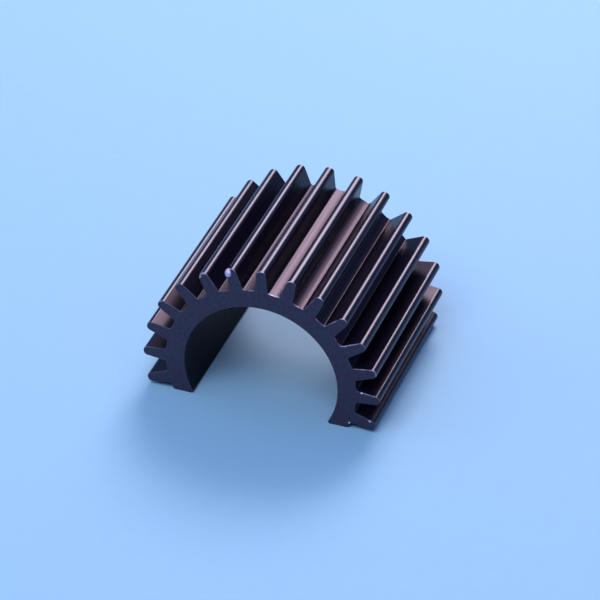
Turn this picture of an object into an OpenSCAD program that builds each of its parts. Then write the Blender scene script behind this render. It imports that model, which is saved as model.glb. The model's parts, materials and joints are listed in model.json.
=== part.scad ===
// Clip-on heat sink for a small electric motor.
// It is one aluminium extrusion: a C-shaped wall that grips the motor can, straight radial
// cooling fins all round the outside, and two flat feet where the C is open.
// The origin is on the bore axis at mid-length. The bore runs along Y and the C opens downwards.

/* [Motor seat] */
// Diameter of the bore that grips the motor can
bore_d = 28; // [24:0.5:40]
// Length of the extrusion along the motor
sink_length = 35; // [15:0.5:60]
// Distance from the bore axis down to the plane of the feet
foot_drop = 6.9; // [4:0.1:9]

/* [Wall] */
// Thickness of the curved wall between the bore and the deepest line of the grooves
wall_t = 3.4; // [2:0.1:6]

/* [Fins] */
// Number of fin pitches that would fill a whole turn
fins_per_turn = 24; // [16:1:28]
// Height of a fin above the deepest line of the grooves
fin_h = 4.2; // [2:0.1:6]
// Thickness of a fin at its root
fin_root_t = 2.5; // [2:0.1:2.8]
// Thickness of a fin at its tip, before the corners are rounded
fin_tip_t = 1.6; // [1.2:0.1:2]

/* [Rounded edges] */
// Radius of the two corners of a fin's tip
tip_round = 0.8; // [0.2:0.05:0.8]
// Radius of the fillet between a fin and the floor of the groove
root_round = 0.3; // [0.2:0.05:0.6]
// Radius of the hollow floor of a groove between two fins
groove_hollow = 5; // [4:0.5:20]
// Radius of the corners of the two feet
foot_round = 0.3; // [0.1:0.05:0.6]

/* [Hidden] */
$fn = 96;

bore_r = bore_d / 2;
floor_r = bore_r + wall_t;
tip_r = floor_r + fin_h;
fin_pitch = 360 / fins_per_turn;
// How far a rounded edge passes the two faces that it joins, so that they meet in one clean line
blend_overlap = 0.001;

// Lean of a fin's flanks, because the fin is thinner at its tip than at its root
flank_lean = atan((fin_root_t - fin_tip_t) / 2 / fin_h);
// Unit vectors out of a fin's right flank and up along it, in the fin's own frame with +Y radial
flank_out = [cos(flank_lean), sin(flank_lean)];
flank_up = [-sin(flank_lean), cos(flank_lean)];
// Distance of the flank's line from the bore axis
flank_offset = [fin_tip_t / 2, tip_r] * flank_out;

// The tip's corner radius is held a little under a full round
full_round = fin_tip_t / 2 / (1 / cos(flank_lean) - tan(flank_lean));
tip_corner = min(tip_round, 0.95 * full_round);
tip_corner_y = tip_r - tip_corner;
tip_corner_x = (flank_offset - tip_corner - tip_corner_y * flank_out[1]) / flank_out[0];

// A groove between two fins has a hollow floor, deepest in its middle, and some of it stays bare
groove_w = 2 * PI * floor_r / fins_per_turn - fin_root_t;
root_corner = min(root_round, 0.4 * groove_w);
fillet_reach = flank_offset + root_corner;
hollow_r = max(groove_hollow, groove_w);
hollow_centre_r = floor_r + hollow_r;
hollow_centre = hollow_centre_r * [sin(fin_pitch / 2), cos(fin_pitch / 2)];
// The fillet between two fins touches the flank and the hollow floor
inner_gap = hollow_r - root_corner;
inner_drop = sqrt(pow(inner_gap, 2) - pow(hollow_centre * flank_out - fillet_reach, 2));
inner_centre = fillet_reach * flank_out + (hollow_centre * flank_up - inner_drop) * flank_up;
inner_on_floor = hollow_centre + (inner_centre - hollow_centre) * hollow_r / inner_gap;
// The fillet outside the last fins touches the flank and the round wall that goes on to the foot
outer_centre_r = floor_r + root_corner;
outer_centre = fillet_reach * flank_out + sqrt(pow(outer_centre_r, 2) - pow(fillet_reach, 2)) * flank_up;
outer_on_floor = outer_centre * floor_r / outer_centre_r;
// Between the grooves the wall rises to a crest that stays hidden inside the fin
crest_angle = fin_pitch / 2 - asin(fin_root_t / 2 / floor_r) / 2;
crest_half_w = hollow_centre_r * sin(crest_angle);
crest_r = hollow_centre_r * cos(crest_angle) - sqrt(pow(hollow_r, 2) - pow(crest_half_w, 2));
// A point on the fin's middle line, inside the wall
fin_anchor = [0, bore_r + wall_t / 2];

// Fins go down each side for as long as a fin's tip stays above the plane of the feet
// and its root fillet stays above the rounded corner of the foot
tip_edge_r = norm([tip_r, fin_tip_t / 2]);
lowest_by_tip = asin(foot_drop / tip_edge_r) - atan(fin_tip_t / 2 / tip_r);
foot_corner_angle = asin((foot_drop - foot_round) / (floor_r - foot_round));
lowest_by_root = foot_corner_angle - atan(outer_on_floor[0] / outer_on_floor[1]);
fins_per_side = floor((90 + min(lowest_by_tip, lowest_by_root)) / fin_pitch);

// One fin, standing straight up from the bore axis, with a rounded tip
module fin() {
    corner = [tip_corner_x, tip_corner_y];
    on_flank = corner + tip_corner * flank_out;
    on_tip = corner + [0, tip_corner];
    root = [(flank_offset - fin_anchor[1] * flank_out[1]) / flank_out[0], fin_anchor[1]];
    right_side = [root, on_flank, on_tip];
    left_side = [for (i = [len(right_side) - 1 : -1 : 0]) [-right_side[i][0], right_side[i][1]]];
    polygon(concat(right_side, left_side));
    for (side = [-1, 1])
        translate([side * corner[0], corner[1]])
            circle(tip_corner + blend_overlap);
}

// The fillet that fills the corner on the right of a fin's root
module root_fillet(centre, on_floor) {
    difference() {
        polygon([fin_anchor, on_floor, centre - root_corner * flank_out]);
        translate(centre)
            circle(root_corner + blend_overlap);
    }
}

// A fin with the fillets on both of its sides. place counts the fins from the top one, to the left.
module filleted_fin(place) {
    fin();
    for (side = [-1, 1])
        mirror([side > 0 ? 1 : 0, 0])
            if (place * side == fins_per_side)
                root_fillet(outer_centre, outer_on_floor);
            else
                root_fillet(inner_centre, inner_on_floor);
}

// The wall with its hollow grooves. Outside the last fins it is round and goes on to the feet.
module grooved_wall() {
    far = 2 * tip_r;
    last = fins_per_side * fin_pitch;
    difference() {
        circle(crest_r);
        for (i = [-fins_per_side : fins_per_side - 1])
            rotate((i + 0.5) * fin_pitch)
                translate([0, hollow_centre_r])
                    circle(hollow_r);
        difference() {
            polygon([
                [0, 0], far * [sin(last), cos(last)], [far, -far], [-far, -far], far * [-sin(last), cos(last)]
            ]);
            circle(floor_r);
        }
    }
}

// What is cut off to round a corner of the right foot, where the foot meets a wall of radius wall_r.
// side is 1 at the outer corner and -1 at the corner by the bore.
module foot_corner(wall_r, side) {
    centre_r = wall_r - side * foot_round;
    centre_y = foot_round - foot_drop;
    centre = [sqrt(pow(centre_r, 2) - pow(centre_y, 2)), centre_y];
    on_wall = centre * wall_r / centre_r;
    on_foot = [centre[0], -foot_drop];
    beside_wall = on_wall * (1 + side * foot_round / wall_r);
    sharp_corner_x = sqrt(pow(wall_r, 2) - pow(foot_drop, 2));
    below_foot = [sharp_corner_x + side * foot_round, -foot_drop - foot_round];
    difference() {
        polygon([centre, on_wall, beside_wall, below_foot, on_foot]);
        translate(centre)
            circle(foot_round + blend_overlap);
    }
}

// The section of the extrusion, with the fins spread evenly from the top down to the feet
module section() {
    difference() {
        union() {
            grooved_wall();
            for (i = [-fins_per_side : fins_per_side])
                rotate(i * fin_pitch)
                    filleted_fin(i);
        }
        circle(bore_r);
        translate([-tip_edge_r, -foot_drop - tip_edge_r])
            square([2 * tip_edge_r, tip_edge_r]);
        for (flip = [0, 1])
            mirror([flip, 0]) {
                foot_corner(floor_r, 1);
                foot_corner(bore_r, -1);
            }
    }
}

module heat_sink() {
    color("#1c1c24")
        rotate([90, 0, 0])
            linear_extrude(height = sink_length, center = true)
                section();
}

heat_sink();
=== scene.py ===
"""Looks of a motor heat sink: one finned, black anodised aluminium extrusion on a pale floor."""

import json
import math

import bmesh
import bpy
from mathutils import Matrix, Vector


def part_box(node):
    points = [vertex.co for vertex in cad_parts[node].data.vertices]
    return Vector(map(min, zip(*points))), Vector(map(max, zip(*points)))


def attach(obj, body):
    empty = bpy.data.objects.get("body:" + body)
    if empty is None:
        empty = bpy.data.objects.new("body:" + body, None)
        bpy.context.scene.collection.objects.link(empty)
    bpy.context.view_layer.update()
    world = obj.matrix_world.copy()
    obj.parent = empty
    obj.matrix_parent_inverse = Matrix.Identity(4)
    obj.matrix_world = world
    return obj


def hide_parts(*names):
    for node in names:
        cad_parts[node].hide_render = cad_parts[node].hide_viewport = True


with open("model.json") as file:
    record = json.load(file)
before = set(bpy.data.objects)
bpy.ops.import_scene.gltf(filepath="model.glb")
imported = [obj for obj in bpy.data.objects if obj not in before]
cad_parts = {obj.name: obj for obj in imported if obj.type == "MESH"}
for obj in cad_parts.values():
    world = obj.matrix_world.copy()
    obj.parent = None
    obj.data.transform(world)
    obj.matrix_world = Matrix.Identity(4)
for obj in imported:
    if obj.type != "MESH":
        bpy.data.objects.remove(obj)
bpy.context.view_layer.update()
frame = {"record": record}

bl_info = {
    "name": "Motor heat sink",
    "version": (1, 0, 0),
    "blender": (4, 5, 0),
    "location": "3D View > Sidebar > Heat sink",
    "description": "Models a finned, black anodised motor heat sink and the stage it stands on",
    "category": "Add Mesh",
}

MM = 0.001
NODE = "heat_sink"
LOW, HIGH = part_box(NODE)
MOTOR_BORE = next(mount for mount in frame["record"]["mounts"] if mount["name"] == "motor_bore")
BORE_R = MOTOR_BORE["dims"]["r_mm"] * MM
# Two points closer than this count as one, and two angles
TOUCH = 1e-6
SAME_ANGLE = 1e-4
# How far off its expected distance from the axis a point may be, and a point of a cut foot
NEAR = 5 * TOUCH
FOOT_NEAR = 20 * TOUCH
# An edge runs along the extrusion if more than this share of it does
ALONG_SHARE = 0.9
# A face's normal tells what it belongs to: it points further than this along the bore on a sawn end,
# less than this to or from the axis on a flank, and further than this up on the upper side of a tip
END_FACING = 0.99
FLANK_FACING = 0.85
TIP_FACING = 0.5
# Facets across half the floor of a groove, under a fin, and from the last pitch to the wall's last facet
GROOVE_STEPS = 4
FIN_STEPS = 2
FOOT_STEPS = 3
# Facets of the roundings
TIP_FACETS = 10
ROOT_FACETS = 5
OUTER_FOOT_FACETS = 4
INNER_FOOT_FACETS = 5
EDGE_FACETS = 3
# The wall's last facet is this many times as wide as the rounding of the foot's inner corner
LAST_FACET_ROOM = 1.3
# A bevel turns tighter than its radius in that sharp corner, so it gets a radius this many times as wide
INNER_FOOT_WIDENING = 1.15
# The wall is swept this far past the feet before they are cut flat
PAST_FOOT = math.radians(1)
# Edges that turn less than this are shaded smooth
SMOOTH_BELOW = math.radians(25)
# Sockets of a colour Mix node
MIX_FACTOR = 0
MIX_A = 6
MIX_B = 7
MIX_RESULT = 2

# Dents in the front edges: fin from the left, place across and along the fin in mm, the dent's direction
# across, along and out of the end, the size of what struck it and how deep it went, in mm
KNOCKS = (
    (6, -0.6, 21.2, (-0.5, 0.7, 0.6), 0.9, 0.3),
    (6, 0.3, 21.6, (0.2, 0.8, 0.6), 0.8, 0.26),
    (4, 0.4, 21.5, (0.5, 0.6, 0.6), 0.7, 0.16),
    (13, 0.1, 21.6, (0.1, 0.8, 0.6), 0.8, 0.2),
    (15, 1.3, 17.25, (0.0, 0.0, 1.0), 0.25, 0.1),
    (15, -0.75, 20.4, (-0.6, 0.2, 0.7), 0.3, 0.08),
    (14, -1.05, 18.4, (-0.7, 0.0, 0.7), 0.35, 0.11),
    (12, -1.1, 18.35, (-0.7, 0.0, 0.7), 0.5, 0.12),
    (12, -1.0, 20.0, (-0.7, 0.0, 0.7), 0.5, 0.12),
)
# Bead of metal that the hardest knock threw up: fin, place across and along it, inset from the end
# and radius, in mm
BEAD = (7, -0.72, 20.3, 0.87, 0.85)
# Hollow that the bead sits in: its middle from the bead's, across and along the fin and out of the end,
# in mm, and its radius as a multiple of the bead's
HOLLOW = (-0.1, 0.55, 0.35, 1.25)
# A knock smaller than this, in mm, goes right through the film, and a wider one only crushes it
SHARP_KNOCK = 0.5
# How uneven a dent, the hollow and the bead are, as shares of their radius
DENT_ROUGH = 0.06
HOLLOW_ROUGH = 0.03
BEAD_ROUGH = 0.02
# Name of the finish on the sawn ends, which the hollow gets too
SAWN = "black_anodised_aluminium_sawn"
# Direction in which the end edges get the most bare metal, partly from rubbing and partly as a painted
# highlight
RUBBED_AND_LIT_SIDE = (0.5, 0.0, 0.87)
# Nearly all of a noise texture lies between these values
NOISE_LOW = 0.3
NOISE_HIGH = 0.7
# Soft lamps: name, direction from the part, distance, width and height in metres, power in watts, colour
LAMPS = (
    ("key_softbox", (-0.05, 0.74, 0.67), 0.7, 0.26, 0.22, 2.3, "#fff0f8"),
    ("key_halo", (-0.05, 0.74, 0.67), 0.7, 0.50, 0.40, 1.6, "#fff0f8"),
    ("front_softbox", (-0.1, -0.5, 0.85), 0.9, 0.6, 0.5, 3.7, "#e6f0ff"),
    ("left_softbox", (-0.8, -0.1, 0.6), 0.9, 0.7, 0.7, 1.4, "#e6f0ff"),
)
# Colour and strength of the surroundings
AMBIENT = "#88adff"
AMBIENT_LEVEL = 0.4
# Radius of the floor in metres, its number of sides, and how much paler the paper's fibres are
FLOOR_R = 2.0
FLOOR_SIDES = 96
PALER = 1.04
# Width of the camera's sensor in millimetres, and the nearest and farthest that it sees in metres
SENSOR_WIDTH = 36
CLIP_START = 0.01
CLIP_END = 10


def linear(code):
    """Turns an sRGB hex colour into the linear values that Blender's sockets take."""
    parts = [int(code[i : i + 2], 16) / 255 for i in (1, 3, 5)]
    return tuple(c / 12.92 if c <= 0.04045 else ((c + 0.055) / 1.055) ** 2.4 for c in parts)


# Sizes and colours that a user would change


class HEATSINK_PG_section(bpy.types.PropertyGroup):
    """Sizes of the extrusion that the frame does not give."""

    wall: bpy.props.FloatProperty(
        name="Wall",
        description="Thickness of the curved wall between the bore and the deepest line of the grooves",
        default=3.4 * MM,
        unit="LENGTH",
    )
    root_width: bpy.props.FloatProperty(
        name="Fin root",
        description="Thickness of a fin at its root",
        default=2.5 * MM,
        unit="LENGTH",
    )
    tip_width: bpy.props.FloatProperty(
        name="Fin tip",
        description="Thickness of a fin at its tip, before its corners are rounded",
        default=1.6 * MM,
        unit="LENGTH",
    )
    pitch: bpy.props.FloatProperty(
        name="Pitch",
        description="Angle from one fin to the next",
        default=math.radians(15),
        subtype="ANGLE",
    )
    fins: bpy.props.IntProperty(
        name="Fins",
        description="Number of fins, spread evenly to both sides of the top one",
        default=15,
    )
    tip_round: bpy.props.FloatProperty(
        name="Tip rounding",
        description="Radius of the two corners of a fin's tip",
        default=0.8 * MM,
        unit="LENGTH",
    )
    root_round: bpy.props.FloatProperty(
        name="Root fillet",
        description="Radius of the fillet between a fin and the floor of the groove",
        default=0.3 * MM,
        unit="LENGTH",
    )
    groove_hollow: bpy.props.FloatProperty(
        name="Groove hollow",
        description="Radius of the hollow floor of a groove between two fins",
        default=5 * MM,
        unit="LENGTH",
    )
    foot_round: bpy.props.FloatProperty(
        name="Foot rounding",
        description="Radius of the corners of the two feet",
        default=0.3 * MM,
        unit="LENGTH",
    )
    edge_break: bpy.props.FloatProperty(
        name="Edge break",
        description="Width of the rounding that tumbling leaves on the sawn edges",
        default=0.15 * MM,
        unit="LENGTH",
    )


class HEATSINK_PG_finish(bpy.types.PropertyGroup):
    """Colours of the anodising and of the metal under it."""

    dye: bpy.props.FloatVectorProperty(
        name="Dye",
        description="Black dye of the anodising on the extruded faces",
        default=linear("#0a0914"),
        subtype="COLOR",
    )
    thin_dye: bpy.props.FloatVectorProperty(
        name="Thin dye",
        description="Colour of the dye along the drawn lines, where the film is thinner",
        default=linear("#151122"),
        subtype="COLOR",
    )
    end_dye: bpy.props.FloatVectorProperty(
        name="Sawn end",
        description="Colour of the anodising on the rougher sawn ends",
        default=linear("#313044"),
        subtype="COLOR",
    )
    warm_dye: bpy.props.FloatVectorProperty(
        name="Sawn end, warm",
        description="Warmer tone that the dye takes in patches on the sawn ends",
        default=linear("#3b2943"),
        subtype="COLOR",
    )
    gloss: bpy.props.FloatVectorProperty(
        name="Gloss",
        description="Tint of the film's reflection, which is a little violet on dyed anodising",
        default=linear("#e9e2ff"),
        subtype="COLOR",
    )
    groove_gloss: bpy.props.FloatVectorProperty(
        name="Groove gloss",
        description="Tint of the film's reflection in the grooves, where it is pinker",
        default=linear("#fdd2fb"),
        subtype="COLOR",
    )
    # Also laid on the up-facing broken edges, where it is partly wear and partly a painted highlight
    metal: bpy.props.FloatVectorProperty(
        name="Bare metal",
        description="Aluminium where the anodising is knocked or rubbed off",
        default=linear("#e6cdee"),
        subtype="COLOR",
    )


class HEATSINK_PG_stage(bpy.types.PropertyGroup):
    """Camera and floor."""

    azimuth: bpy.props.FloatProperty(
        name="Azimuth",
        description="Direction of the camera round the object",
        default=math.radians(19.28),
        subtype="ANGLE",
    )
    elevation: bpy.props.FloatProperty(
        name="Elevation",
        description="Height of the camera above the horizon",
        default=math.radians(34.85),
        subtype="ANGLE",
    )
    roll: bpy.props.FloatProperty(
        name="Roll",
        description="Turn of the camera about its own axis",
        default=math.radians(0.8),
        subtype="ANGLE",
    )
    distance: bpy.props.FloatProperty(
        name="Distance",
        description="Distance from the camera to the point that it looks at",
        default=642.6 * MM,
        unit="LENGTH",
    )
    aim: bpy.props.FloatVectorProperty(
        name="Aim",
        description="Point that the camera looks at",
        default=(0.92 * MM, 0.0, 4.72 * MM),
        subtype="XYZ",
        unit="LENGTH",
    )
    lens: bpy.props.FloatProperty(
        name="Lens",
        description="Focal length in millimetres on a 36 mm sensor",
        default=220.7,
    )
    floor: bpy.props.FloatVectorProperty(
        name="Floor",
        description="Colour of the paper that the part stands on",
        default=linear("#9fcce6"),
        subtype="COLOR",
    )


# Modelling


def deselect_all():
    """Leaves nothing selected, so that the next operator acts on the new piece alone."""
    bpy.ops.object.select_all(action="DESELECT")


def pick(piece, kind, test):
    """Selects the vertices, edges or faces of the piece in edit mode that pass a test."""
    bpy.ops.mesh.select_mode(type=kind)
    bpy.ops.mesh.select_all(action="DESELECT")
    mesh = bmesh.from_edit_mesh(piece.data)
    elements = {"VERT": mesh.verts, "EDGE": mesh.edges, "FACE": mesh.faces}[kind]
    found = [element for element in elements if test(element)]
    for element in found:
        element.select_set(True)
    mesh.select_flush_mode()
    bmesh.update_edit_mesh(piece.data)
    if not found:
        raise RuntimeError("nothing to select on " + piece.name)


def reach(point):
    """Distance of a point from the bore axis."""
    return math.hypot(point.x, point.z)


def from_top(point):
    """Angle of a point round the bore axis, from straight up, towards +X."""
    return math.atan2(point.x, point.z)


def runs_along(edge):
    """True for an edge that runs along the extrusion."""
    along = edge.verts[1].co - edge.verts[0].co
    return abs(along.y) > ALONG_SHARE * along.length


def on_end(face):
    """True for a face of a sawn end."""
    return abs(face.normal.y) > END_FACING


def hollow_reach(section, off_middle):
    """Distance of a groove's hollow floor from the bore axis, at an angle from the groove's middle."""
    centre_r = BORE_R + section.wall + section.groove_hollow
    sideways = centre_r * math.sin(off_middle)
    return centre_r * math.cos(off_middle) - math.sqrt(section.groove_hollow**2 - sideways**2)


def fin_root(section):
    """Where a fin's right flank meets the hollow floor, on a fin that stands straight up.

    Also gives the lean of the flank and the angle between flank and floor there."""
    floor_r = BORE_R + section.wall
    lean = math.atan((section.root_width - section.tip_width) / 2 / (HIGH.z - floor_r))
    out = Vector((math.cos(lean), math.sin(lean)))
    up = Vector((-math.sin(lean), math.cos(lean)))
    offset = Vector((section.tip_width / 2, HIGH.z)).dot(out)
    middle = Vector((math.sin(section.pitch / 2), math.cos(section.pitch / 2)))
    centre = middle * (floor_r + section.groove_hollow)
    drop = math.sqrt(section.groove_hollow**2 - (centre.dot(out) - offset) ** 2)
    root = out * offset + up * (centre.dot(up) - drop)
    return root, lean, math.pi - out.angle(centre - root)


def one_pitch(section):
    """Models the wall of one pitch with its fin, standing straight up and open on both sides."""
    floor_r = BORE_R + section.wall
    tip_r = HIGH.z
    half_pitch = section.pitch / 2
    root = fin_root(section)[0]
    half_root = math.atan2(root.x, root.y)
    half_groove = half_pitch - half_root
    bpy.ops.mesh.primitive_plane_add(
        size=1, location=(0, 0, BORE_R + section.wall / 2), rotation=(0, math.pi / 2, 0)
    )
    piece = bpy.context.object
    piece.scale = (section.wall, HIGH.y - LOW.y, 1)
    bpy.ops.object.transform_apply(location=True, rotation=True, scale=True)
    bpy.ops.object.mode_set(mode="EDIT")
    bpy.ops.mesh.select_all(action="SELECT")
    bpy.ops.transform.rotate(value=-half_pitch, orient_axis="Y", center_override=(0, 0, 0))
    # The wall is swept from one groove's middle to the next, with edges where the fin begins and ends
    groove = (half_groove, GROOVE_STEPS)
    for angle, steps in (groove, (2 * half_root, FIN_STEPS), groove):
        bpy.ops.mesh.spin(steps=steps, angle=angle, center=(0, 0, 0), axis=(0, 1, 0))
    # Its outside is hollow in the groove, so it rises from the groove's middle to the fin
    for step in range(1, GROOVE_STEPS + 1):
        off_middle = half_groove * step / GROOVE_STEPS
        pick(
            piece,
            "VERT",
            lambda v: abs(reach(v.co) - floor_r) < TOUCH
            and abs(half_pitch - off_middle - abs(from_top(v.co))) < SAME_ANGLE,
        )
        rise = hollow_reach(section, off_middle) / floor_r
        bpy.ops.transform.resize(value=(rise, 1, rise), center_override=(0, 0, 0))
    # The fin rises from the middle of the wall, gets a flat tip and narrows towards it
    pick(
        piece,
        "FACE",
        lambda face: all(
            reach(v.co) > floor_r - TOUCH and abs(from_top(v.co)) < half_root + SAME_ANGLE
            for v in face.verts
        ),
    )
    bpy.ops.mesh.extrude_region_move(TRANSFORM_OT_translate={"value": (0, 0, tip_r - floor_r)})
    narrowing = section.tip_width / 2 / root.x
    bpy.ops.transform.resize(value=(narrowing, 1, 0), center_override=(0, 0, tip_r))
    # Both sides stay open for the next pitch
    pick(
        piece,
        "FACE",
        lambda face: all(abs(abs(from_top(v.co)) - half_pitch) < SAME_ANGLE for v in face.verts),
    )
    bpy.ops.mesh.delete(type="ONLY_FACE")
    return piece


def repeat_pitch(piece, section):
    """Copies the pitch round the bore and joins the copies."""
    turn = section.pitch * (section.fins - 1)
    bpy.ops.mesh.select_all(action="SELECT")
    bpy.ops.transform.rotate(value=-turn / 2, orient_axis="Y", center_override=(0, 0, 0))
    bpy.ops.mesh.spin(
        steps=section.fins - 1, dupli=True, angle=turn, center=(0, 0, 0), axis=(0, 1, 0)
    )
    bpy.ops.mesh.select_all(action="SELECT")
    bpy.ops.mesh.remove_doubles(threshold=TOUCH)


def add_feet(piece, section):
    """Carries the wall's two open ends down and cuts them flat at the plane of the feet."""
    wall_end = section.pitch * section.fins / 2
    below_axis = math.asin(-LOW.z / BORE_R)
    inner_corner = math.pi / 2 - below_axis
    foot = math.pi / 2 + below_axis
    # The last facet is wide enough for the whole rounding of the foot's inner corner
    last_facet = foot - LAST_FACET_ROOM * section.foot_round / math.tan(inner_corner / 2) / BORE_R
    past_foot = foot + PAST_FOOT
    for side in (1, -1):
        pick(
            piece,
            "EDGE",
            lambda edge: edge.is_boundary and edge.verts[0].co.x * side > 0,
        )
        for angle, steps in ((last_facet - wall_end, FOOT_STEPS), (past_foot - last_facet, 1)):
            bpy.ops.mesh.spin(steps=steps, angle=-side * angle, center=(0, 0, 0), axis=(0, 1, 0))
    bpy.ops.mesh.select_all(action="SELECT")
    bpy.ops.mesh.bisect(
        plane_co=(0, 0, LOW.z), plane_no=(0, 0, 1), use_fill=True, clear_inner=True
    )
    bpy.ops.mesh.select_all(action="SELECT")
    bpy.ops.mesh.normals_make_consistent(inside=False)


def round_edges(piece, test, radius, corner, segments):
    """Rounds long edges to a radius, where the two faces meet at the given corner angle."""
    pick(piece, "EDGE", lambda edge: runs_along(edge) and test(edge.verts[0].co))
    bpy.ops.mesh.bevel(
        offset_type="OFFSET",
        offset=radius / math.tan(corner / 2),
        segments=segments,
        profile=0.5,
        affect="EDGES",
        clamp_overlap=False,
    )


def round_section(piece, section):
    """Rounds the corners of the section: fin tips, fin roots and feet."""
    floor_r = BORE_R + section.wall
    tip_r = HIGH.z
    root, lean, root_corner = fin_root(section)
    half_root = math.atan2(root.x, root.y)
    tip_edge_r = math.hypot(tip_r, section.tip_width / 2)
    right = math.pi / 2

    def at_root(point):
        off_fin = abs((from_top(point) / section.pitch + 0.5) % 1 - 0.5) * section.pitch
        return abs(off_fin - half_root) < SAME_ANGLE and abs(reach(point) - root.length) < NEAR

    def at_tip(point):
        return abs(reach(point) - tip_edge_r) < NEAR

    def on_foot(wall_r):
        return lambda point: abs(point.z - LOW.z) < TOUCH and abs(reach(point) - wall_r) < FOOT_NEAR

    round_edges(piece, at_tip, section.tip_round, right + lean, TIP_FACETS)
    round_edges(piece, at_root, section.root_round, root_corner, ROOT_FACETS)
    outer = right + math.asin(-LOW.z / floor_r)
    inner = right - math.asin(-LOW.z / BORE_R)
    inner_round = INNER_FOOT_WIDENING * section.foot_round
    round_edges(piece, on_foot(floor_r), section.foot_round, outer, OUTER_FOOT_FACETS)
    round_edges(piece, on_foot(BORE_R), inner_round, inner, INNER_FOOT_FACETS)


def break_end_edges(piece, section):
    """Makes each sawn end one face and rounds its whole rim a little, as tumbling does."""
    for y in (LOW.y, HIGH.y):
        pick(piece, "FACE", lambda face: all(abs(v.co.y - y) < TOUCH for v in face.verts))
        bpy.ops.mesh.dissolve_faces(use_verts=True)
    pick(
        piece,
        "EDGE",
        lambda edge: abs(edge.verts[0].co.y - edge.verts[1].co.y) < TOUCH
        and any(on_end(face) for face in edge.link_faces),
    )
    bpy.ops.mesh.bevel(
        offset_type="OFFSET",
        offset=section.edge_break,
        segments=EDGE_FACETS,
        profile=0.5,
        affect="EDGES",
        clamp_overlap=False,
    )


def fin_axes(section, fin):
    """Directions across a fin to the right, along it to its tip, and out of the front end."""
    angle = (fin - (section.fins + 1) / 2) * section.pitch
    side = Vector((math.cos(angle), 0, -math.sin(angle)))
    up = Vector((math.sin(angle), 0, math.cos(angle)))
    return side, up, Vector((0, -1, 0))


def merge_lump(piece, operation, material, place, radius, rough, seed):
    """Cuts a rough round lump out of the piece, or adds it, with its own finish on the new faces."""
    deselect_all()
    bpy.ops.mesh.primitive_ico_sphere_add(subdivisions=3, radius=radius, location=place)
    lump = bpy.context.object
    lump.data.materials.append(material)
    bpy.ops.object.transform_apply(location=True, rotation=True, scale=True)
    bpy.ops.object.mode_set(mode="EDIT")
    bpy.ops.mesh.select_all(action="SELECT")
    bpy.ops.transform.vertex_random(offset=rough * radius, uniform=1.0, seed=seed)
    bpy.ops.object.mode_set(mode="OBJECT")
    deselect_all()
    piece.select_set(True)
    bpy.context.view_layer.objects.active = piece
    merge = piece.modifiers.new("lump", "BOOLEAN")
    merge.operation = operation
    merge.solver = "EXACT"
    merge.material_mode = "TRANSFER"
    merge.object = lump
    bpy.ops.object.modifier_apply(modifier=merge.name)
    bpy.data.objects.remove(lump)


def knock_corners(piece, section, finish):
    """Dents the front edges where the anodising is knocked off, and adds the bead by the hardest knock."""
    metal = bare_aluminium(finish)
    bruised = bruised_anodising(finish)
    for number, (fin, across, radial, outward, size, depth) in enumerate(KNOCKS):
        side, up, ahead = fin_axes(section, fin)
        place = side * across * MM + up * radial * MM + ahead * -LOW.y
        away = (side * outward[0] + up * outward[1] + ahead * outward[2]).normalized()
        place += away * (size - depth) * MM
        inside = metal if size < SHARP_KNOCK else bruised
        merge_lump(piece, "DIFFERENCE", inside, place, size * MM, DENT_ROUGH, number)
    fin, across, radial, inset, radius = BEAD
    side, up, ahead = fin_axes(section, fin)
    place = side * across * MM + up * radial * MM + ahead * (-LOW.y - inset * MM)
    # The bead sits in a hollow that the same knock made in the upper corner of the fin's end
    sawn = piece.data.materials[SAWN]
    aside, along, out, widening = HOLLOW
    hollow = place + (up * along + ahead * out + side * aside) * MM
    merge_lump(piece, "DIFFERENCE", sawn, hollow, widening * radius * MM, HOLLOW_ROUGH, len(KNOCKS))
    merge_lump(piece, "UNION", metal, place, radius * MM, BEAD_ROUGH, len(KNOCKS) + 1)
    # The cuts leave points that all but touch each other
    bpy.ops.object.mode_set(mode="EDIT")
    bpy.ops.mesh.select_all(action="SELECT")
    bpy.ops.mesh.remove_doubles(threshold=TOUCH)
    bpy.ops.object.mode_set(mode="OBJECT")


# Materials


def add_node(tree, kind, sockets=None, **settings):
    """Adds a node, gives it its settings, and fills its sockets with values or links."""
    made = tree.nodes.new(kind)
    for name, value in settings.items():
        setattr(made, name, value)
    for name, value in (sockets or {}).items():
        if isinstance(value, bpy.types.NodeSocket):
            tree.links.new(value, made.inputs[name])
        else:
            made.inputs[name].default_value = value
    return made


def opaque(colour):
    """Adds the alpha that a node's colour socket wants."""
    return (*colour, 1.0)


def start_material(name):
    """Makes an empty node material, and gives its tree and the piece's own coordinates."""
    material = bpy.data.materials.new(name)
    material.use_nodes = True
    tree = material.node_tree
    tree.nodes.clear()
    place = add_node(tree, "ShaderNodeTexCoord").outputs["Object"]
    return material, tree, place


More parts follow.
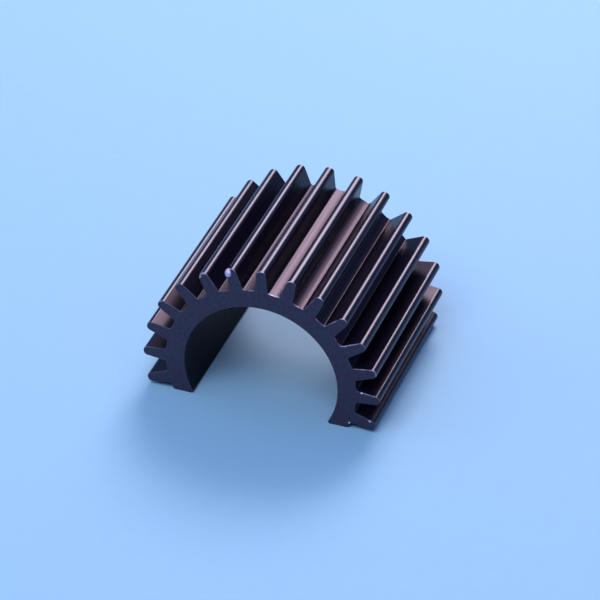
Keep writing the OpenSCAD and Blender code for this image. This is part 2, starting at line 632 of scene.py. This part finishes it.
def drawn_anodising(finish, name, smoothest, roughest, ior, tint):
    """Black anodised aluminium with the lines of the extrusion die along its length."""
    # The die leaves fine lines along the length, so the satin gloss breaks up into long streaks.
    # Real die lines are about 0.05 mm apart; they are drawn 0.25 mm apart so that they show.
    material, tree, place = start_material(name)
    drawn = add_node(
        tree,
        "ShaderNodeMapping",
        {"Vector": place, "Scale": (1 / (0.25 * MM), 1 / (30 * MM), 1 / (0.25 * MM))},
    ).outputs["Vector"]
    lines = add_node(
        tree, "ShaderNodeTexNoise", {"Vector": drawn, "Scale": 1.0, "Detail": 3.0}
    ).outputs["Fac"]
    # Uneven etching before the dye, in patches about 0.4 mm wide
    etching = add_node(
        tree, "ShaderNodeTexNoise", {"Vector": place, "Scale": 1 / (0.4 * MM), "Detail": 4.0}
    ).outputs["Fac"]
    colour = add_node(
        tree,
        "ShaderNodeMix",
        {MIX_FACTOR: lines, MIX_A: opaque(finish.dye), MIX_B: opaque(finish.thin_dye)},
        data_type="RGBA",
    ).outputs[MIX_RESULT]
    gloss = add_node(
        tree,
        "ShaderNodeMapRange",
        {
            "Value": lines,
            "From Min": NOISE_LOW,
            "From Max": NOISE_HIGH,
            "To Min": smoothest,
            "To Max": roughest,
        },
    ).outputs["Result"]
    relief = add_node(
        tree,
        "ShaderNodeBump",
        {"Height": lines, "Strength": 0.5, "Distance": 0.001 * MM},
    ).outputs["Normal"]
    relief = add_node(
        tree,
        "ShaderNodeBump",
        {"Height": etching, "Strength": 0.4, "Distance": 0.001 * MM, "Normal": relief},
    ).outputs["Normal"]
    shader = add_node(
        tree,
        "ShaderNodeBsdfPrincipled",
        {
            "Base Color": colour,
            "Roughness": gloss,
            "Normal": relief,
            "IOR": ior,
            "Specular Tint": opaque(tint),
        },
    )
    add_node(tree, "ShaderNodeOutputMaterial", {"Surface": shader.outputs["BSDF"]})
    return material


def groove_anodising(finish):
    """The floors of the grooves, as they came from the die and the dye bath."""
    name = "black_anodised_aluminium_extruded"
    tint = finish.groove_gloss
    return drawn_anodising(finish, name, smoothest=0.18, roughest=0.32, ior=1.35, tint=tint)


def flank_anodising(finish):
    """The flat flanks of the fins, which the die drags along and leaves duller."""
    name = "black_anodised_aluminium_dragged"
    tint = finish.groove_gloss
    return drawn_anodising(finish, name, smoothest=0.26, roughest=0.34, ior=1.3, tint=tint)


def tip_anodising(finish):
    """The upper sides of the fin tips, burnished by handling and tumbling, so that they shine more."""
    name = "black_anodised_aluminium_burnished"
    return drawn_anodising(finish, name, smoothest=0.2, roughest=0.28, ior=1.51, tint=finish.gloss)


def reamed_anodising(finish):
    """Black anodised aluminium in the bore, reamed to size before the dye, so that it is deep and matt."""
    material, tree, place = start_material("black_anodised_aluminium_reamed")
    # The reamer leaves fine rings round the bore, about 0.3 mm apart.
    rings = add_node(
        tree,
        "ShaderNodeMapping",
        {"Vector": place, "Scale": (1 / (15 * MM), 1 / (0.3 * MM), 1 / (15 * MM))},
    ).outputs["Vector"]
    marks = add_node(
        tree, "ShaderNodeTexNoise", {"Vector": rings, "Scale": 1.0, "Detail": 3.0}
    ).outputs["Fac"]
    colour = add_node(
        tree,
        "ShaderNodeMix",
        {MIX_FACTOR: marks, MIX_A: opaque(finish.dye), MIX_B: opaque(finish.thin_dye)},
        data_type="RGBA",
    ).outputs[MIX_RESULT]
    gloss = add_node(
        tree,
        "ShaderNodeMapRange",
        {"Value": marks, "From Min": NOISE_LOW, "From Max": NOISE_HIGH, "To Min": 0.45, "To Max": 0.55},
    ).outputs["Result"]
    shader = add_node(
        tree,
        "ShaderNodeBsdfPrincipled",
        {"Base Color": colour, "Roughness": gloss, "IOR": 1.2},
    )
    add_node(tree, "ShaderNodeOutputMaterial", {"Surface": shader.outputs["BSDF"]})
    return material


def sawn_anodising(finish):
    """Black anodised aluminium on a sawn and tumbled end, which is matt and holds less dye."""
    material, tree, place = start_material(SAWN)
    # Tumbling leaves a soft mottle about 2 mm wide, the dye takes unevenly in spots of 0.5 mm,
    # and the saw leaves fine marks across the end.
    mottle = add_node(
        tree, "ShaderNodeTexNoise", {"Vector": place, "Scale": 1 / (2 * MM), "Detail": 3.0}
    ).outputs["Fac"]
    spots = add_node(
        tree, "ShaderNodeTexNoise", {"Vector": place, "Scale": 1 / (0.5 * MM), "Detail": 3.0}
    ).outputs["Fac"]
    across = add_node(
        tree,
        "ShaderNodeMapping",
        {"Vector": place, "Scale": (1 / (12 * MM), 1 / MM, 1 / (0.3 * MM))},
    ).outputs["Vector"]
    saw_marks = add_node(
        tree, "ShaderNodeTexNoise", {"Vector": across, "Scale": 1.0, "Detail": 2.0}
    ).outputs["Fac"]
    warmth = add_node(
        tree,
        "ShaderNodeMapRange",
        {"Value": mottle, "From Min": 0.42, "From Max": 0.6},
    ).outputs["Result"]
    tone = add_node(
        tree,
        "ShaderNodeMix",
        {MIX_FACTOR: warmth, MIX_A: opaque(finish.end_dye), MIX_B: opaque(finish.warm_dye)},
        data_type="RGBA",
    ).outputs[MIX_RESULT]
    dark = add_node(
        tree,
        "ShaderNodeMapRange",
        {"Value": spots, "From Min": 0.45, "From Max": 0.7, "To Min": 0.0, "To Max": 0.6},
    ).outputs["Result"]
    colour = add_node(
        tree,
        "ShaderNodeMix",
        {MIX_FACTOR: dark, MIX_A: tone, MIX_B: opaque(finish.dye)},
        data_type="RGBA",
    ).outputs[MIX_RESULT]
    relief = add_node(
        tree,
        "ShaderNodeBump",
        {"Height": saw_marks, "Strength": 0.5, "Distance": 0.02 * MM},
    ).outputs["Normal"]
    relief = add_node(
        tree,
        "ShaderNodeBump",
        {"Height": spots, "Strength": 0.4, "Distance": 0.03 * MM, "Normal": relief},
    ).outputs["Normal"]
    shader = add_node(
        tree,
        "ShaderNodeBsdfPrincipled",
        {"Base Color": colour, "Roughness": 0.6, "Normal": relief},
    )
    add_node(tree, "ShaderNodeOutputMaterial", {"Surface": shader.outputs["BSDF"]})
    return material


def rubbed_and_highlit_edge(finish):
    """Anodising on the broken edges, rubbed through to the metal in patches, with bare metal as a painted
    highlight on the edges that face up.
    """
    # Hands rub the edges in patches about 1.2 mm long. Bare metal goes only on edges that face up, most of
    # all those on the upper right, as a painted highlight of the light from above, so thin bright lines
    # show there.
    material, tree, place = start_material("black_anodised_aluminium_rubbed_highlit")
    patches = add_node(
        tree, "ShaderNodeTexNoise", {"Vector": place, "Scale": 1 / (1.2 * MM), "Detail": 4.0}
    ).outputs["Fac"]
    facing = add_node(tree, "ShaderNodeTexCoord").outputs["Normal"]
    upward = add_node(tree, "ShaderNodeSeparateXYZ", {"Vector": facing}).outputs["Z"]
    upper_right = add_node(
        tree, "ShaderNodeVectorMath", {0: place, 1: RUBBED_AND_LIT_SIDE}, operation="DOT_PRODUCT"
    ).outputs["Value"]
    # Partly painted highlight: more bare metal towards the upper right
    handled_and_lit = add_node(
        tree,
        "ShaderNodeMapRange",
        {"Value": upper_right, "From Min": 8 * MM, "From Max": 16 * MM, "To Min": 0.1, "To Max": 1.0},
    ).outputs["Result"]
    # Painted highlight: only edges that face up get bare metal, as light from above would brighten them
    facing_up_highlight = add_node(
        tree,
        "ShaderNodeMapRange",
        {"Value": upward, "From Min": 0.2, "From Max": 0.7, "To Min": 0.0, "To Max": handled_and_lit},
    ).outputs["Result"]
    wear_and_highlight = add_node(
        tree,
        "ShaderNodeMapRange",
        {"Value": patches, "From Min": 0.35, "From Max": 0.6, "To Min": 0.0, "To Max": facing_up_highlight},
    ).outputs["Result"]
    colour = add_node(
        tree,
        "ShaderNodeMix",
        {MIX_FACTOR: wear_and_highlight, MIX_A: opaque(finish.end_dye), MIX_B: opaque(finish.metal)},
        data_type="RGBA",
    ).outputs[MIX_RESULT]
    shader = add_node(
        tree,
        "ShaderNodeBsdfPrincipled",
        {"Base Color": colour, "Roughness": 0.5, "Metallic": wear_and_highlight},
    )
    add_node(tree, "ShaderNodeOutputMaterial", {"Surface": shader.outputs["BSDF"]})
    return material


def bruised_anodising(finish):
    """The inside of a wide dent, where the film is crushed and some metal shows through."""
    # Crumbs of film about 0.3 mm wide are left on the metal, so the dent has a patchy grey shine.
    material, tree, place = start_material("black_anodised_aluminium_bruised")
    crushed = add_node(
        tree, "ShaderNodeTexNoise", {"Vector": place, "Scale": 1 / (0.3 * MM), "Detail": 3.0}
    ).outputs["Fac"]
    bare = add_node(
        tree,
        "ShaderNodeMapRange",
        {"Value": crushed, "From Min": 0.35, "From Max": 0.65, "To Min": 0.2, "To Max": 0.6},
    ).outputs["Result"]
    colour = add_node(
        tree,
        "ShaderNodeMix",
        {MIX_FACTOR: bare, MIX_A: opaque(finish.end_dye), MIX_B: opaque(finish.metal)},
        data_type="RGBA",
    ).outputs[MIX_RESULT]
    shader = add_node(
        tree,
        "ShaderNodeBsdfPrincipled",
        {"Base Color": colour, "Roughness": 0.55, "Metallic": bare},
    )
    add_node(tree, "ShaderNodeOutputMaterial", {"Surface": shader.outputs["BSDF"]})
    return material


def bare_aluminium(finish):
    """Bare aluminium in the sharp dents and on the bead, satin and slightly rough."""
    # Small bruises about 0.3 mm wide break up its shine, so it looks pearly and not polished.
    material, tree, place = start_material("bare_aluminium_satin")
    bruise = add_node(
        tree, "ShaderNodeTexNoise", {"Vector": place, "Scale": 1 / (0.3 * MM), "Detail": 3.0}
    ).outputs["Fac"]
    gloss = add_node(
        tree,
        "ShaderNodeMapRange",
        {"Value": bruise, "From Min": NOISE_LOW, "From Max": NOISE_HIGH, "To Min": 0.5, "To Max": 0.65},
    ).outputs["Result"]
    relief = add_node(
        tree, "ShaderNodeBump", {"Height": bruise, "Strength": 0.4, "Distance": 0.03 * MM}
    ).outputs["Normal"]
    shader = add_node(
        tree,
        "ShaderNodeBsdfPrincipled",
        {
            "Base Color": opaque(finish.metal),
            "Metallic": 1.0,
            "Roughness": gloss,
            "Normal": relief,
        },
    )
    add_node(tree, "ShaderNodeOutputMaterial", {"Surface": shader.outputs["BSDF"]})
    return material


def finish_faces(piece, section, finish):
    """Gives groove floors, sawn ends, broken edges, bore, fin tips and fin flanks their own finish."""
    rim_y = HIGH.y - section.edge_break
    tip_from = HIGH.z - section.tip_round

    def on_rim(face):
        return abs(face.calc_center_median().y) > rim_y

    def on_tip(face):
        # Hands and the tumbler only reach the side of a tip that faces up
        return face.normal.z > TIP_FACING and all(reach(v.co) > tip_from for v in face.verts)

    def in_bore(face):
        return all(reach(v.co) < BORE_R + NEAR for v in face.verts)

    def on_flank(face):
        middle = face.calc_center_median()
        outwards = Vector((middle.x, 0, middle.z)).normalized()
        return abs(face.normal.dot(outwards)) < FLANK_FACING

    # Every face starts with the first finish, and the others are then laid over it
    piece.data.materials.append(groove_anodising(finish))
    finishes = (
        (sawn_anodising, on_end),
        # Broken edges: rubbed metal in patches, plus bare metal as a painted highlight where they face up
        (rubbed_and_highlit_edge, lambda face: on_rim(face) and not on_end(face)),
        (reamed_anodising, lambda face: not on_rim(face) and in_bore(face)),
        (tip_anodising, lambda face: not on_rim(face) and on_tip(face)),
        (flank_anodising, lambda face: not on_rim(face) and not on_tip(face) and on_flank(face)),
    )
    for slot, (make, test) in enumerate(finishes, start=1):
        piece.data.materials.append(make(finish))
        pick(piece, "FACE", test)
        piece.active_material_index = slot
        bpy.ops.object.material_slot_assign()


# Pieces and stage


class HEATSINK_OT_extrusion(bpy.types.Operator):
    """Models the finned extrusion and gives its faces their finish"""

    bl_idname = "heat_sink.extrusion"
    bl_label = "Finned extrusion"

    def execute(self, context):
        section = context.scene.heat_sink_section
        finish = context.scene.heat_sink_finish
        deselect_all()
        piece = one_pitch(section)
        piece.name = "finned_extrusion"
        repeat_pitch(piece, section)
        add_feet(piece, section)
        round_section(piece, section)
        break_end_edges(piece, section)
        finish_faces(piece, section, finish)
        bpy.ops.object.mode_set(mode="OBJECT")
        knock_corners(piece, section, finish)
        bpy.ops.object.shade_smooth_by_angle(angle=SMOOTH_BELOW)
        even = piece.modifiers.new("even_normals", "WEIGHTED_NORMAL")
        even.keep_sharp = True
        bpy.ops.object.modifier_apply(modifier=even.name)
        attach(piece, "root")
        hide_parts(NODE)
        return {"FINISHED"}


class HEATSINK_OT_stage(bpy.types.Operator):
    """Makes the floor, the soft lamps, the surroundings and the camera"""

    bl_idname = "heat_sink.stage"
    bl_label = "Stage"

    def execute(self, context):
        stage = context.scene.heat_sink_stage
        self.make_floor(stage)
        self.make_lamps()
        self.make_world(context)
        self.make_camera(context, stage)
        context.scene.view_settings.view_transform = "Standard"
        return {"FINISHED"}

    def make_floor(self, stage):
        """Lays a wide sheet of paper under the feet."""
        deselect_all()
        bpy.ops.mesh.primitive_circle_add(
            vertices=FLOOR_SIDES, radius=FLOOR_R, fill_type="NGON", location=(0, 0, LOW.z)
        )
        floor = bpy.context.object
        floor.name = "paper_floor"
        bpy.ops.object.transform_apply(location=True, rotation=True, scale=True)
        material, tree, place = start_material("satin_paper")
        # Paper fibres give a faint mottle about 2 mm wide, and the satin face a soft sheen.
        fibres = add_node(
            tree, "ShaderNodeTexNoise", {"Vector": place, "Scale": 1 / (2 * MM), "Detail": 3.0}
        ).outputs["Fac"]
        paler = tuple(min(1.0, c * PALER) for c in stage.floor)
        colour = add_node(
            tree,
            "ShaderNodeMix",
            {MIX_FACTOR: fibres, MIX_A: opaque(stage.floor), MIX_B: opaque(paler)},
            data_type="RGBA",
        ).outputs[MIX_RESULT]
        shader = add_node(
            tree, "ShaderNodeBsdfPrincipled", {"Base Color": colour, "Roughness": 0.7}
        )
        add_node(tree, "ShaderNodeOutputMaterial", {"Surface": shader.outputs["BSDF"]})
        floor.data.materials.append(material)

    def make_lamps(self):
        """Hangs the soft lamps, each turned towards the part."""
        for name, direction, distance, width, height, power, colour in LAMPS:
            deselect_all()
            towards = Vector(direction).normalized()
            bpy.ops.object.light_add(type="AREA", location=towards * distance)
            lamp = bpy.context.object
            lamp.name = name
            lamp.rotation_euler = towards.to_track_quat("Z", "Y").to_euler()
            lamp.data.shape = "RECTANGLE"
            lamp.data.size = width
            lamp.data.size_y = height
            lamp.data.energy = power
            lamp.data.color = linear(colour)

    def make_world(self, context):
        """Lights the shadows from all round."""
        world = bpy.data.worlds.new("soft_surroundings")
        world.use_nodes = True
        context.scene.world = world
        tree = world.node_tree
        tree.nodes.clear()
        soft = add_node(
            tree, "ShaderNodeBackground", {"Color": opaque(linear(AMBIENT)), "Strength": AMBIENT_LEVEL}
        ).outputs["Background"]
        add_node(tree, "ShaderNodeOutputWorld", {"Surface": soft})

    def make_camera(self, context, stage):
        """Places the camera round the point that it looks at."""
        level = math.cos(stage.elevation)
        back = Vector(
            (
                math.sin(stage.azimuth) * level,
                -math.cos(stage.azimuth) * level,
                math.sin(stage.elevation),
            )
        )
        level_right = Vector((math.cos(stage.azimuth), math.sin(stage.azimuth), 0))
        level_up = back.cross(level_right)
        right = level_right * math.cos(stage.roll) + level_up * math.sin(stage.roll)
        up = back.cross(right)
        place = Vector(stage.aim) + back * stage.distance
        deselect_all()
        bpy.ops.object.camera_add(location=place)
        camera = bpy.context.object
        camera.name = "camera"
        turned = Matrix((right, up, back)).transposed().to_4x4()
        camera.matrix_world = Matrix.Translation(place) @ turned
        camera.data.sensor_width = SENSOR_WIDTH
        camera.data.lens = stage.lens
        camera.data.clip_start = CLIP_START
        camera.data.clip_end = CLIP_END
        context.scene.camera = camera


class HEATSINK_PT_panel(bpy.types.Panel):
    """Lists the heat sink's operators, sizes and colours"""

    bl_idname = "HEATSINK_PT_panel"
    bl_label = "Motor heat sink"
    bl_space_type = "VIEW_3D"
    bl_region_type = "UI"
    bl_category = "Heat sink"

    def draw(self, context):
        """Shows each group of values in a box, and the operators under them."""
        for group in ("heat_sink_section", "heat_sink_finish", "heat_sink_stage"):
            values = getattr(context.scene, group)
            box = self.layout.box()
            for name in values.__annotations__:
                box.prop(values, name)
        self.layout.operator(HEATSINK_OT_extrusion.bl_idname)
        self.layout.operator(HEATSINK_OT_stage.bl_idname)


GROUPS = {
    "heat_sink_section": HEATSINK_PG_section,
    "heat_sink_finish": HEATSINK_PG_finish,
    "heat_sink_stage": HEATSINK_PG_stage,
}
CLASSES = (*GROUPS.values(), HEATSINK_OT_extrusion, HEATSINK_OT_stage, HEATSINK_PT_panel)


def register():
    """Makes the classes known and gives the scene their values."""
    for kind in CLASSES:
        bpy.utils.register_class(kind)
    for name, group in GROUPS.items():
        setattr(bpy.types.Scene, name, bpy.props.PointerProperty(type=group))


def unregister():
    """Takes the values and the classes away again."""
    for name in GROUPS:
        delattr(bpy.types.Scene, name)
    for kind in reversed(CLASSES):
        bpy.utils.unregister_class(kind)


def main():
    """Makes the piece and the stage."""
    register()
    bpy.ops.heat_sink.extrusion()
    bpy.ops.heat_sink.stage()


if __name__ == "__main__":
    main()
